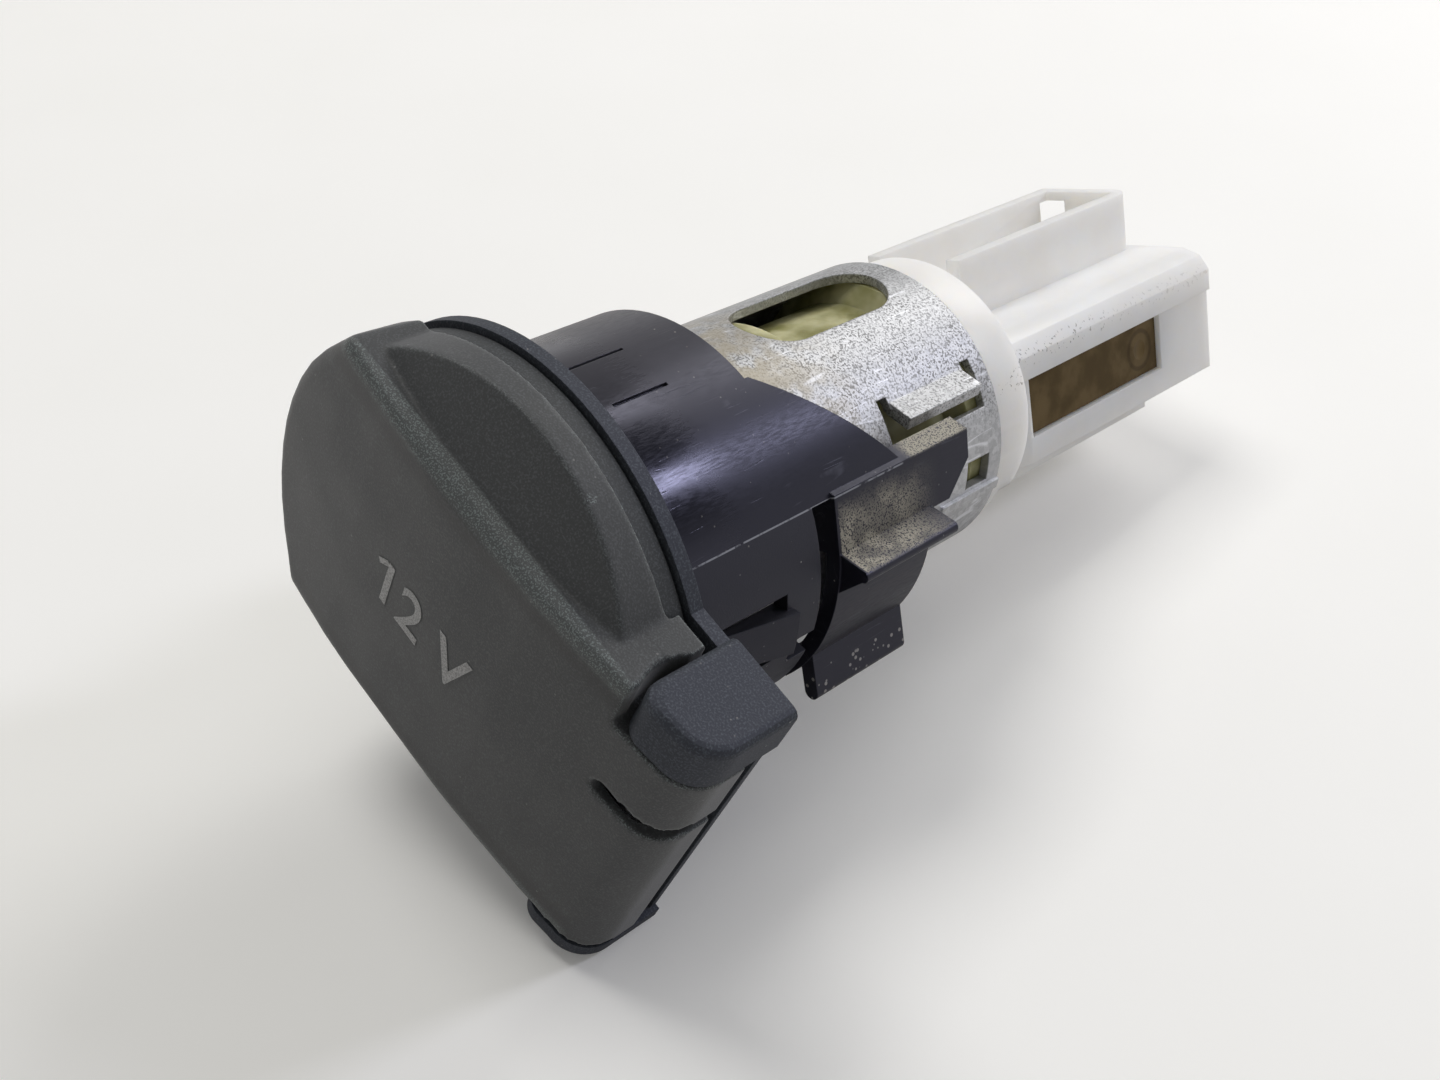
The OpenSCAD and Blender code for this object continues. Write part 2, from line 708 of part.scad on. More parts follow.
module lid_carrier() color([0.10, 0.10, 0.11]) axial() difference() {
    plate_t = 1.2;
    plate_r = cap_r - cover_wall - fit_gap;
    arm_top = cap_edge + plate_t;
    arm_left = pin_x - 7.1;
    pocket_low = lid_low + cover_wall + 0.2;
    pocket_high = lid_high - cover_wall - 0.2;
    union() {
        translate([0, 0, -arm_top]) cylinder(r = plate_r, h = plate_t);
        tube(skirt_r, plate_r - 0.9, -cap_edge, -flange_t - lid_gap);
        tube(lip_ring_d / 2, lip_ring_d / 2 - 1.2, -cap_edge - eps, -flange_t - lid_gap);
        for (span = [[pocket_low, coil_low - 0.5], [slit_y + 0.9, pocket_high]]) {
            across(span[0], span[1]) translate([pin_x, pin_front]) circle(knuckle_r);
            across(span[0], span[1]) translate([arm_left, cap_edge]) square([pin_x - arm_left, plate_t]);
        }
        translate([leg_x - 0.7, coil_low - 1, -pin_front - coil_r + wire_r + 0.02])
            cube([2, 2, pin_front + coil_r - wire_r - arm_top + eps]);
    }
    pin_bore(pin_r + pin_gap);
}

module hinge_pin() color([0.70, 0.71, 0.73]) axial()
    translate([0, low_ear_low, 0]) rotate([-90, 0, 0]) translate([pin_x, pin_front, 0])
        cylinder(r = pin_r, h = ear_high - 1.2 - low_ear_low);

// Path of the spring's wire: the housing leg, the coil about the pin and the lid leg.
function spring_path() = concat(
    [[pin_x + coil_r, slit_y, -pin_front + 3.5]],
    [for (i = [0:20 * turns + 5]) let (a = -i * 18)
        [pin_x + coil_r * cos(a), slit_y - max(0, i - 1) * coil_pitch / 20,
         -pin_front + coil_r * sin(a)]],
    [[leg_x, coil_low - 0.18, -pin_front - coil_r]]);

module sweep(path, r, sides = 8) {
    n = len(path);
    function dir(i) = let (a = path[max(0, i - 1)], b = path[min(n - 1, i + 1)]) (b - a) / norm(b - a);
    rings = [for (i = [0:n - 1]) let (
        t = dir(i),
        s = cross(t, [0, 1, 0]) / norm(cross(t, [0, 1, 0])),
        u = cross(s, t))
        for (k = [0:sides - 1]) path[i] + r * (s * cos(k * 360 / sides) + u * sin(k * 360 / sides))];
    faces = concat(
        [[for (k = [sides - 1:-1:0]) k]],
        [for (i = [0:n - 2], k = [0:sides - 1]) let (q = (k + 1) % sides)
            [i * sides + k, i * sides + q, (i + 1) * sides + q, (i + 1) * sides + k]],
        [[for (k = [0:sides - 1]) (n - 1) * sides + k]]);
    polyhedron(points = rings, faces = faces, convexity = 6);
}

module lid_spring() color([0.75, 0.76, 0.78]) axial() sweep(spring_path(), wire_r);

housing();
lid_cover();
lid_carrier();
hinge_pin();
lid_spring();
barrel();
contact_cup();
centre_contact();
centre_rivet();
connector_body();
centre_terminal();
earth_terminal();
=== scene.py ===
# %% [markdown]
# # A car's 12 V power socket, dressed in Blender
#
# The CAD model gives every solid its size and place. Here it gets its looks: soft-touch
# rubber on the lid, scratched black plastic, zinc with its crystals, and aged nylon.
# Everything is in metres, and the origin is in the rear face of the flange. The socket's
# axis is y, with the lid at its negative end and the connector at its positive end.

# %% Load the CAD model as the frame
import math

import bpy
from mathutils import Matrix, Vector


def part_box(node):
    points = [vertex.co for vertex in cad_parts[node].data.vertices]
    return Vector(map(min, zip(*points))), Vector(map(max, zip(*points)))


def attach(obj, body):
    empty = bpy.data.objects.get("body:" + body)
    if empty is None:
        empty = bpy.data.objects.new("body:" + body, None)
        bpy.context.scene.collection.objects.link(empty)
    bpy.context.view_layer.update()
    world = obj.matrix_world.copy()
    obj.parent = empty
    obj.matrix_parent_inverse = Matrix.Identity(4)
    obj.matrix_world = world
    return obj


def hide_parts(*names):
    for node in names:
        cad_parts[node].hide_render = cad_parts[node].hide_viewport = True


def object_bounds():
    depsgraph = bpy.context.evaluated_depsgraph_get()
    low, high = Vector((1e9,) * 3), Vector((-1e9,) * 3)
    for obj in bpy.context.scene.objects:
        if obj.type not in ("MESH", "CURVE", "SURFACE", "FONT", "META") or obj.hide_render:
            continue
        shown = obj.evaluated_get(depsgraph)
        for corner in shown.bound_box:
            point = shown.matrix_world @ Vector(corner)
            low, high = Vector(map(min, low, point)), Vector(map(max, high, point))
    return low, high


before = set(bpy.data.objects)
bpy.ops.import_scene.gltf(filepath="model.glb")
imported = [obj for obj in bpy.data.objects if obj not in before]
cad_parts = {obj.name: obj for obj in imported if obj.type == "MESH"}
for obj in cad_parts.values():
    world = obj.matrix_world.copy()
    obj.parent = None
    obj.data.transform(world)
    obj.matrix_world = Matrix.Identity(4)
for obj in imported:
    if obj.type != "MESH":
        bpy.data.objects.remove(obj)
cad_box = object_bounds()
scene = bpy.context.scene
MM = 0.001
print("nodes:", ", ".join(sorted(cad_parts)))

# %% [markdown]
# ## The camera
#
# The photograph was taken from close by, in front of the lid and above it. A camera's own
# axes are right, up and backwards, so its matrix comes straight from the direction that it
# looks in and the direction that is up in the picture.

# %% Camera
view_direction = Vector((-0.29731, 0.60156, -0.74144)).normalized()
picture_up = Vector((-0.72720, 0.36053, 0.58412)).normalized()
picture_right = view_direction.cross(picture_up).normalized()
camera_axes = Matrix((picture_right, picture_up, -view_direction)).transposed()
camera_place = Vector((36.863, -52.624, 82.334)) * MM
lens_length = 40.15
sensor_width = 36

bpy.ops.object.select_all(action="DESELECT")
bpy.ops.object.camera_add(location=camera_place)
camera = bpy.context.object
camera.name = "camera"
camera.rotation_euler = camera_axes.to_euler()
camera.data.lens = lens_length
camera.data.sensor_width = sensor_width
camera.data.clip_start = 1 * MM
scene.camera = camera
print("camera stands", round(camera.location.length / MM), "mm from the flange")

# %% [markdown]
# ## The floor and the light
#
# The socket lies on its side on a pale bench, resting on the lid's edge and the connector.
# The floor could be any flat shape, and a wide disc has no corner to show. It lies against
# the model's lowest points in that direction, so the object keeps a true contact shadow.

# %% Floor


def facing(direction):
    """The turn that points an object's own z axis along a direction."""
    return direction.to_track_quat("Z", "Y").to_euler()


floor_up = Vector((-0.37, -0.11, 0.92)).normalized()
floor_radius = 0.9
points = [v.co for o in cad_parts.values() for v in o.data.vertices]
floor_height = min(floor_up.dot(p) for p in points)
middle = (cad_box[0] + cad_box[1]) / 2
floor_centre = middle + floor_up * (floor_height - floor_up.dot(middle))

bpy.ops.object.select_all(action="DESELECT")
bpy.ops.mesh.primitive_circle_add(vertices=64, radius=floor_radius, fill_type="NGON",
                                  location=floor_centre, rotation=facing(floor_up))
floor = bpy.context.object
floor.name = "floor"
print("floor is", round((middle - floor_centre).length / MM, 1), "mm under the middle")

# %% [markdown]
# ## A finish is a graph of nodes
#
# Coordinates go into a finish, patterns come out of them, and a shader turns the result
# into a surface. By hand, each node is dragged in and wired up. The same few steps come
# back in every finish here, so they are written once, as small functions. The patterns
# read Object coordinates, because those keep a pattern's size and place on its piece.

# %% Add nodes and feed their sockets


def feed(finish, socket, value):
    """Links the socket to the output that the value is, or sets it to a plain value."""
    if isinstance(value, bpy.types.NodeSocket):
        finish.node_tree.links.new(value, socket)
    else:
        socket.default_value = value


def add_node(finish, kind, settings=None, **sockets):
    """Adds a shader node with its settings, and feeds its sockets, where i0 is the first."""
    node = finish.node_tree.nodes.new("ShaderNode" + kind)
    for name, value in (settings or {}).items():
        setattr(node, name, value)
    for name, value in sockets.items():
        by_number = name[0] == "i" and name[1:].isdigit()
        key = int(name[1:]) if by_number else name.replace("_", " ")
        feed(finish, node.inputs[key], value)
    return node


def shader_of(finish):
    return finish.node_tree.nodes["Principled BSDF"]


def paint(finish, **inputs):
    """Feeds the shader's inputs, such as Base_Color, with patterns or plain values."""
    for name, value in inputs.items():
        feed(finish, shader_of(finish).inputs[name.replace("_", " ")], value)


def new_finish(name, roughness=0.5, metallic=0.0):
    """A material with its Principled shader, ready for patterns."""
    finish = bpy.data.materials.new(name)
    finish.use_nodes = True
    paint(finish, Roughness=roughness, Metallic=metallic)
    return finish


# %% Coordinates, noise and mixing


def millimetres(finish, stretch=(1, 1, 1), turn=(0, 0, 0)):
    """Object coordinates, which come in metres, turned into millimetres."""
    where = add_node(finish, "TexCoord").outputs["Object"]
    scale = [1000 * s for s in stretch]
    return add_node(finish, "Mapping", Vector=where, Scale=scale, Rotation=turn).outputs[0]


def clouds(finish, where, size, detail=3.0):
    """A soft noise whose patches are about size millimetres across."""
    return add_node(finish, "TexNoise", Vector=where, Scale=1 / size, Detail=detail).outputs[0]


def between(finish, value, low, high, bottom=0.0, top=1.0):
    """Goes from bottom to top as the value goes from low to high."""
    return add_node(finish, "MapRange", {"interpolation_type": "SMOOTHSTEP"}, Value=value,
                    From_Min=low, From_Max=high, To_Min=bottom, To_Max=top).outputs[0]


def arithmetic(finish, operation, first, second=0.0):
    return add_node(finish, "Math", {"operation": operation}, i0=first, i1=second).outputs[0]


def blend(finish, share, first, second):
    """The first colour where share is 0, and the second where it is 1."""
    return add_node(finish, "Mix", {"data_type": "RGBA"}, i0=share, i6=first, i7=second).outputs[2]


def blend_number(finish, share, first, second):
    """The first number where share is 0, and the second where it is 1."""
    return add_node(finish, "Mix", {"data_type": "FLOAT"}, i0=share, i2=first, i3=second).outputs[0]


# %% [markdown]
# The bench shows bright to the camera and stays at a plain white for the light that it
# throws back, so the object isn't lit more strongly to get a pale background. Light Path
# tells the two kinds of ray apart. The bench's back is clear, which leaves the object in
# sight from any side.

# %% Floor finish
bench = new_finish("bench", roughness=0.6)
bench_for_light = (0.68, 0.67, 0.65, 1)
bench_seen_dark = (0.93, 0.925, 0.90, 1)
bench_seen_pale = (0.97, 0.965, 0.95, 1)
bench_cloud_size = 30
bench_glow = 0.08
is_camera = add_node(bench, "LightPath").outputs["Is Camera Ray"]
bench_clouds = clouds(bench, millimetres(bench), bench_cloud_size)
seen = blend(bench, bench_clouds, bench_seen_dark, bench_seen_pale)
paint(bench, Base_Color=blend(bench, is_camera, bench_for_light, seen), Emission_Color=seen,
      Emission_Strength=arithmetic(bench, "MULTIPLY", is_camera, bench_glow),
      Specular_IOR_Level=0.2)

behind = add_node(bench, "NewGeometry").outputs["Backfacing"]
clear = add_node(bench, "BsdfTransparent").outputs[0]
sides = add_node(bench, "MixShader", i0=behind, i1=shader_of(bench).outputs[0], i2=clear)
bench_output = bench.node_tree.nodes["Material Output"]
feed(bench, bench_output.inputs["Surface"], sides.outputs[0])
floor.data.materials.append(bench)
print("bench finish on", floor.name)

# %% [markdown]
# The room gives a weak, even light, and shows pale to the camera. What the gloss mirrors
# is told apart by Light Path too: bright along the bench and dim overhead, because a glossy
# black looks black only where it mirrors something dark.

# %% The room
world = bpy.data.worlds.new("soft_room")
scene.world = world
world.use_nodes = True
room_light = 0.24
backdrop_level = 0.87
mirrored_low_down = 0.9
mirrored_overhead = 0.16
overhead_from = 0.5
path = add_node(world, "LightPath").outputs
direct = arithmetic(world, "MAXIMUM", path["Is Camera Ray"], path["Is Transmission Ray"])
direction = add_node(world, "TexCoord").outputs["Generated"]
rise = add_node(world, "VectorMath", {"operation": "DOT_PRODUCT"}, i0=direction, i1=floor_up)
mirrored = between(world, rise.outputs["Value"], 0.0, overhead_from, mirrored_low_down,
                   mirrored_overhead)
level = blend_number(world, path["Is Glossy Ray"], room_light, mirrored)
level = blend_number(world, direct, level, backdrop_level)
background = world.node_tree.nodes["Background"]
feed(world, background.inputs["Strength"], level)
feed(world, background.inputs["Color"], (1, 0.995, 0.98, 1))
scene.view_settings.view_transform = "Standard"
print("room light", room_light)

# %% [markdown]
# Three soft boxes stand in for the photograph's lamps. The rear one gives the bluish streak
# along the sleeve, and its place follows from that streak: it is where the sleeve mirrors it
# into the camera. The left one throws the small shadow to the right of the lid. The third
# stands far behind, and lights the tops of the barrel and the connector but not the lid's face.

# %% Soft boxes


def soft_box(name, towards, distance, width, height, radiance, tint):
    """A rectangular lamp that shines on the middle of the object with a known radiance."""
    direction = Vector(towards).normalized()
    bpy.ops.object.light_add(type="AREA", location=middle + direction * distance,
                             rotation=facing(direction))
    lamp = bpy.context.object
    lamp.name = name
    lamp.data.shape = "RECTANGLE"
    lamp.data.size = width
    lamp.data.size_y = height
    lamp.data.energy = radiance * math.pi * width * height
    lamp.data.color = tint
    print(name, "gives", round(lamp.data.energy, 2), "W")


soft_box("rear_lamp", towards=(0.18, 0.60, 0.78), distance=0.6, width=0.08, height=0.18,
         radiance=17, tint=(0.86, 0.87, 1.0))
soft_box("left_lamp", towards=(-0.72, -0.12, 0.68), distance=0.7, width=0.30, height=0.30,
         radiance=6.5, tint=(1.0, 0.985, 0.955))
soft_box("back_lamp", towards=(-0.35, 0.75, 0.55), distance=0.8, width=0.40, height=0.40,
         radiance=4.2, tint=(1.0, 0.99, 0.965))

# %% [markdown]
# ## The lid's rubber skin
#
# The lid is moulded plastic under a soft-touch coat. A raised band crosses it, with a broad
# rounding along both edges, and falls to a finger scoop on either side. The CAD lid has these
# forms, but its scoops are flatter and its band is sharper than the real ones. A new lid
# could be modelled from a disc, but the CAD one fits the hinge already. So a copy of it loses
# its scoops to a cutter, has its band shaved by flat bars, and gets new scoops.

# %% Copies and modifiers


def copy_node(name, node_name):
    """A copy of a CAD node with its loose triangles joined, selected and active."""
    bpy.ops.object.select_all(action="DESELECT")
    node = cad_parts[node_name]
    piece = bpy.data.objects.new(name, node.data.copy())
    scene.collection.objects.link(piece)
    bpy.context.view_layer.objects.active = piece
    piece.select_set(True)
    piece.data.materials.clear()
    bpy.ops.object.mode_set(mode="EDIT")
    bpy.ops.mesh.select_all(action="SELECT")
    bpy.ops.mesh.remove_doubles(threshold=0.001 * MM)
    bpy.ops.object.mode_set(mode="OBJECT")
    return piece


def apply_modifier(piece, kind, **settings):
    """Adds a modifier with its settings and makes its result the piece's own mesh."""
    bpy.context.view_layer.objects.active = piece
    bpy.ops.object.modifier_add(type=kind)
    modifier = piece.modifiers[-1]
    for key, value in settings.items():
        setattr(modifier, key, value)
    bpy.ops.object.modifier_apply(modifier=modifier.name)


def corners(piece):
    """The lowest and the highest corner of a piece's box."""
    places = [v.co for v in piece.data.vertices]
    low = Vector([min(place[k] for place in places) for k in range(3)])
    high = Vector([max(place[k] for place in places) for k in range(3)])
    return low, high


# %% Cutters


def block(low, high):
    """A box between two corners in millimetres, selected, which starts a cutter."""
    bpy.ops.object.select_all(action="DESELECT")
    centre = (Vector(low) + Vector(high)) / 2
    bpy.ops.mesh.primitive_cube_add(size=1, location=centre * MM)
    box = bpy.context.object
    box.scale = (Vector(high) - Vector(low)) * MM
    return box


def on_both_sides(piece):
    """Freezes the piece's place in its mesh, and adds its mirror image below the axis."""
    bpy.ops.object.transform_apply(location=True, rotation=True, scale=True)
    apply_modifier(piece, "MIRROR", use_axis=(False, False, True), use_mirror_merge=False)


def combine(piece, tool, operation):
    """Cuts a piece with a tool, or keeps only what they share, and removes the tool."""
    apply_modifier(piece, "BOOLEAN", operation=operation, object=tool, solver="EXACT")
    bpy.data.objects.remove(tool)


# %% The band, without the CAD's scoops
band_half = 12.6
overcut = 0.02
before_lid = -9
ring_top = -4.2
past_lid = 20
lid_skin = copy_node("lid_skin", "lid_cover")
scoop_cutter = block((-past_lid, before_lid, band_half - overcut), (past_lid, ring_top, past_lid))
on_both_sides(scoop_cutter)
combine(lid_skin, scoop_cutter, "DIFFERENCE")
print("band has", len(lid_skin.data.polygons), "faces")

# %% [markdown]
# The band's long edges have a broad rounding. A bevel often fails on edges that other cuts
# have left, so three flat bars, each tilted more than the last, shave every edge into
# facets that touch one arc. The remesh further on melts the facets into a curve.

# %% The broad rounding along the band
lid_front = -8.4
rounding = 1.5
bar_depth = 2
bar_half = 1.5
rounding_centre = Vector((0, lid_front + rounding, band_half - rounding))
for tilt in (20, 45, 70):
    lean = math.radians(tilt)
    outward = Vector((0, -math.cos(lean), math.sin(lean)))
    bar = block((-past_lid, -bar_depth / 2, -bar_half), (past_lid, bar_depth / 2, bar_half))
    bar.rotation_euler = (-lean, 0, 0)
    bar.location = (rounding_centre + outward * (rounding + bar_depth / 2)) * MM
    on_both_sides(bar)
    combine(lid_skin, bar, "DIFFERENCE")
print("rounded band has", len(lid_skin.data.polygons), "faces")

# %% [markdown]
# A finger scoop is the rest of the lid's disc beside the band, with a hollow slope on it.
# It starts as a short cylinder as wide as the cap, and two bisect cuts take off what lies
# under the band and beyond the hinge side. What a large tilted cylinder shares with it has
# the slope, because the large one's wall leans with it and bends a little.

# %% A disc as wide as the cap, cut to the scoop's outline
cap_radius = 17.15
disc_depth = 3.6
disc_middle = -5.9
under_band = Vector((0, 0, 11.3))
hinge_side = Vector((13.6, 0, 0))

bpy.ops.object.select_all(action="DESELECT")
bpy.ops.mesh.primitive_cylinder_add(vertices=120, radius=cap_radius * MM, depth=disc_depth * MM,
                                    location=(0, disc_middle * MM, 0),
                                    rotation=(math.radians(90), 0, 0))
scoop = bpy.context.object
bpy.ops.object.transform_apply(location=True, rotation=True, scale=True)
bpy.ops.object.mode_set(mode="EDIT")
for cut_at, towards in ((under_band, (0, 0, -1)), (hinge_side, (1, 0, 0))):
    bpy.ops.mesh.select_all(action="SELECT")
    bpy.ops.mesh.bisect(plane_co=cut_at * MM, plane_no=towards, use_fill=True, clear_outer=True)
bpy.ops.object.mode_set(mode="OBJECT")
print("scoop's outline has", len(scoop.data.polygons), "faces")

# %% The slope of the scoops
scoop_tilt = math.radians(30)
scoop_curve = 71
scoop_edge = 0.6
scoop_foot = Vector((0, -7.0, band_half))
down_into_lid = Vector((0, math.cos(scoop_tilt), -math.sin(scoop_tilt)))

bpy.ops.object.select_all(action="DESELECT")
bpy.ops.mesh.primitive_cylinder_add(vertices=360, radius=scoop_curve * MM, depth=60 * MM,
                                    location=(scoop_foot + down_into_lid * scoop_curve) * MM,
                                    rotation=(-scoop_tilt, 0, 0))
combine(scoop, bpy.context.object, "INTERSECT")
apply_modifier(scoop, "BEVEL", width=scoop_edge * MM, segments=3, limit_method="ANGLE",
               angle_limit=math.radians(30))
scoop.select_set(True)
on_both_sides(scoop)
print("scoops have", len(scoop.data.polygons), "faces")

# %% [markdown]
# A voxel remesh melts the band and the scoops into one skin. Relaxing it a little rounds the
# outer edges and fills the inner corners alike, as the coat on the real lid does.

# %% One skin
skin_grain = 0.2
bpy.ops.object.select_all(action="DESELECT")
scoop.select_set(True)
lid_skin.select_set(True)
bpy.context.view_layer.objects.active = lid_skin
bpy.ops.object.join()
apply_modifier(lid_skin, "REMESH", mode="VOXEL", voxel_size=skin_grain * MM)
apply_modifier(lid_skin, "SMOOTH", factor=0.5, iterations=2)
bpy.ops.object.shade_smooth()
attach(lid_skin, "lid")
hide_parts("lid_cover")
print("lid_skin has", len(lid_skin.data.polygons), "faces")
for title, box in (("CAD cover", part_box("lid_cover")), ("skin", corners(lid_skin))):
    print(title, "reaches from", *[[round(x / MM, 2) for x in corner] for corner in box])

# %% [markdown]
# Soft-touch paint is a very dark grey with a fine grain, no clear highlight, and a pale
# bloom at low angles. Handling polishes its ridges a little lighter, and pale dust lies
# on it. Pointiness finds the ridges, because the remeshed skin has many small faces. Along
# each edge of the band, a pale strip is a painted highlight, where the rounding turns up
# towards the rear lamp, and a darker line beside it is painted shade. Those two are painted
# by their distance from the lid's middle, because no ridge runs there. The sparkle of the
# polished ridges is laid on the painted highlight strip too.

# %% Colours, masks and relief


def grey(level, warmth=0.0):
    """A neutral colour, or with warmth a slightly yellower one."""
    return (level * (1 + warmth), level, level * (1 - warmth), 1)


def axes_of(finish, where):
    """The x, y and z of a place."""
    return add_node(finish, "SeparateXYZ", Vector=where).outputs


def zone(finish, value, low, high, soft):
    """1 where the value is between low and high, with soft ends."""
    rising = between(finish, value, low - soft, low)
    falling = between(finish, value, high, high + soft, 1, 0)
    return arithmetic(finish, "MULTIPLY", rising, falling)


def both(finish, *masks):
    """1 only where all the masks are."""
    result = masks[0]
    for mask in masks[1:]:
        result = arithmetic(finish, "MULTIPLY", result, mask)
    return result


def dots(finish, where, scale):
    """The distance to the nearest of many scattered points, which is small on each dot."""
    return add_node(finish, "TexVoronoi", Vector=where, Scale=scale).outputs["Distance"]


def emboss(finish, height, depth, soft_edge=0):
    """Relief, depth millimetres high, and edges rounded by soft_edge, that only bend the light."""
    bump = add_node(finish, "Bump", Height=height, Distance=depth * MM)
    if soft_edge:
        rounded = add_node(finish, "Bevel", {"samples": 4}, Radius=soft_edge * MM)
        feed(finish, bump.inputs["Normal"], rounded.outputs[0])
    paint(finish, Normal=bump.outputs[0])


# %% Grained coat
grain_size = 0.13


def grained(finish, grain, deep, pale):
    """A colour that a fine grain lifts from deep to pale, as on soft-touch paint."""
    return blend(finish, between(finish, grain, 0.45, 0.72), deep, pale)


soft_touch = new_finish("soft_touch")
where = millimetres(soft_touch)
grain = clouds(soft_touch, where, grain_size, 2)
patches = clouds(soft_touch, where, 7)
deep_coat = blend(soft_touch, patches, grey(0.036, -0.06), grey(0.046, -0.06))
coat = grained(soft_touch, grain, deep_coat, grey(0.080, -0.06))
print("grain is", grain_size, "mm")

# %% Handling wear, and painted highlight and shade along the band
highlight_strip = (11.9, 12.5)
shade_line = (10.7, 10.9)
axes = axes_of(soft_touch, where)
off_middle = arithmetic(soft_touch, "ABSOLUTE", axes[2])
on_band = between(soft_touch, axes[1], -6.9, -7.1)
# The pale strip along the band's edge is a painted highlight, and the darker line beside it is
# painted shade.
band_edge_highlight = both(soft_touch, zone(soft_touch, off_middle, *highlight_strip, soft=0.6), on_band)
band_edge_shade = both(soft_touch, zone(soft_touch, off_middle, *shade_line, soft=0.9), on_band)
pointiness = add_node(soft_touch, "NewGeometry").outputs["Pointiness"]
ridge = between(soft_touch, pointiness, 0.505, 0.56)
sparkle = between(soft_touch, clouds(soft_touch, where, 0.1, 1), 0.52, 0.62)
# The sparkle is polish wear on the ridges, and part of the painted highlight on the band's edge
# strip.
rubbed_and_highlight = both(soft_touch, arithmetic(soft_touch, "MAXIMUM", ridge, band_edge_highlight), sparkle)
# Painted shade beside the band's edge first, then the painted highlight strip, then the sparkle.
coat = blend(soft_touch, both(soft_touch, band_edge_shade, 0.45), coat, grey(0.022))
coat = blend(soft_touch, both(soft_touch, band_edge_highlight, 0.7), coat, (0.090, 0.098, 0.098, 1))
coat = blend(soft_touch, both(soft_touch, rubbed_and_highlight, 0.8), coat, (0.20, 0.235, 0.235, 1))
dust = between(soft_touch, dots(soft_touch, where, 0.55), 0.035, 0.05, 0.55, 0)
paint(soft_touch, Base_Color=blend(soft_touch, dust, coat, grey(0.24)),
      Roughness=between(soft_touch, patches, 0.3, 0.7, 0.52, 0.66),
      Sheen_Weight=0.25, Sheen_Roughness=0.5)
emboss(soft_touch, grain, 0.012)
lid_skin.data.materials.append(soft_touch)
print("soft_touch on", lid_skin.name)

# %% [markdown]
# ## The 12 V print
#
# The voltage is pad-printed in light grey across the middle of the band. Text is typed,
# made a mesh, brought to the printed size, and pressed against the curved lid with
# a shrinkwrap along its own depth, so that it follows the curve as ink does.

# %% The print
print_height = 3.9 * MM
print_width = 8.8 * MM
print_shift = 0.5 * MM
before_print = -9.5
upright = math.radians(90)
bpy.ops.object.select_all(action="DESELECT")
bpy.ops.object.text_add(location=(0, before_print * MM, 0), rotation=(upright, 0, 0))
lettering = bpy.context.object
lettering.name = "lettering_12v"
lettering.data.body = "12 V"
lettering.data.size = 5.6 * MM
lettering.data.offset = 0.07 * MM
lettering.data.align_x = "CENTER"
lettering.data.align_y = "CENTER"
bpy.ops.object.convert(target="MESH")
bpy.ops.object.transform_apply(location=True, rotation=True, scale=True)
print("letters have", len(lettering.data.vertices), "corners")

# %% Bring the print to its size and place
low, high = corners(lettering)
glyphs_centre = (low + high) / 2
across = print_width / (high.x - low.x)
upwards = print_height / (high.z - low.z)
lettering.scale = (across, 1, upwards)
lettering.location.x = print_shift - glyphs_centre.x * across
lettering.location.z = -glyphs_centre.z * upwards
bpy.ops.object.transform_apply(location=True, rotation=True, scale=True)
low, high = corners(lettering)
print("print is", round((high.x - low.x) / MM, 2), "by", round((high.z - low.z) / MM, 2), "mm")

# %% The flag of the 1, which Blender's own font leaves out
flag_start = Vector((-3.95, before_print, 1.68))
flag_end = Vector((-4.85, before_print, 1.05))
flag_width = 0.45
flag_slope = math.atan2(flag_start.z - flag_end.z, flag_start.x - flag_end.x)
bpy.ops.object.select_all(action="DESELECT")
bpy.ops.mesh.primitive_plane_add(size=1, location=(flag_start + flag_end) / 2 * MM,
                                 rotation=(upright, -flag_slope, 0))
flag = bpy.context.object
flag.scale = ((flag_start - flag_end).length * MM, flag_width * MM, 1)
bpy.ops.object.transform_apply(location=True, rotation=True, scale=True)
lettering.select_set(True)
bpy.context.view_layer.objects.active = lettering
bpy.ops.object.join()
print("print has", len(lettering.data.polygons), "faces")

# %% Press the print on the lid
ink_lift = 0.04
bpy.ops.object.mode_set(mode="EDIT")
bpy.ops.mesh.select_all(action="SELECT")
bpy.ops.mesh.subdivide(number_cuts=3)
bpy.ops.object.mode_set(mode="OBJECT")
apply_modifier(lettering, "SHRINKWRAP", target=lid_skin, wrap_method="PROJECT", use_project_y=True,
               use_negative_direction=False, use_positive_direction=True, offset=ink_lift * MM)
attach(lettering, "lid")
print("print is at y", round(corners(lettering)[0].y / MM, 2), "mm")

# %% [markdown]
# Pad ink is thin, so the dark coat shows through it in flecks. A noise between two greys
# gives them, which is enough on letters that are under four millimetres high.

# %% Ink
ink = new_finish("pad_ink", roughness=0.7)
flecks = between(ink, clouds(ink, millimetres(ink), 0.12, 2), 0.35, 0.6)
paint(ink, Base_Color=blend(ink, flecks, grey(0.28), grey(0.50)))
lettering.data.materials.append(ink)
print("ink on", lettering.name)

# %% [markdown]
# ## Softer edges on the connector
#
# No moulded edge is truly sharp, and the connector's edges are round enough to see. A copy of
# its CAD solid gets a bevel modifier. Flat regions are first dissolved into single faces,
# because a bevel needs the real edges and not the diagonals that the CAD mesh is cut into. The
# finer edges of the other pieces are rounded by a Bevel node in their materials.

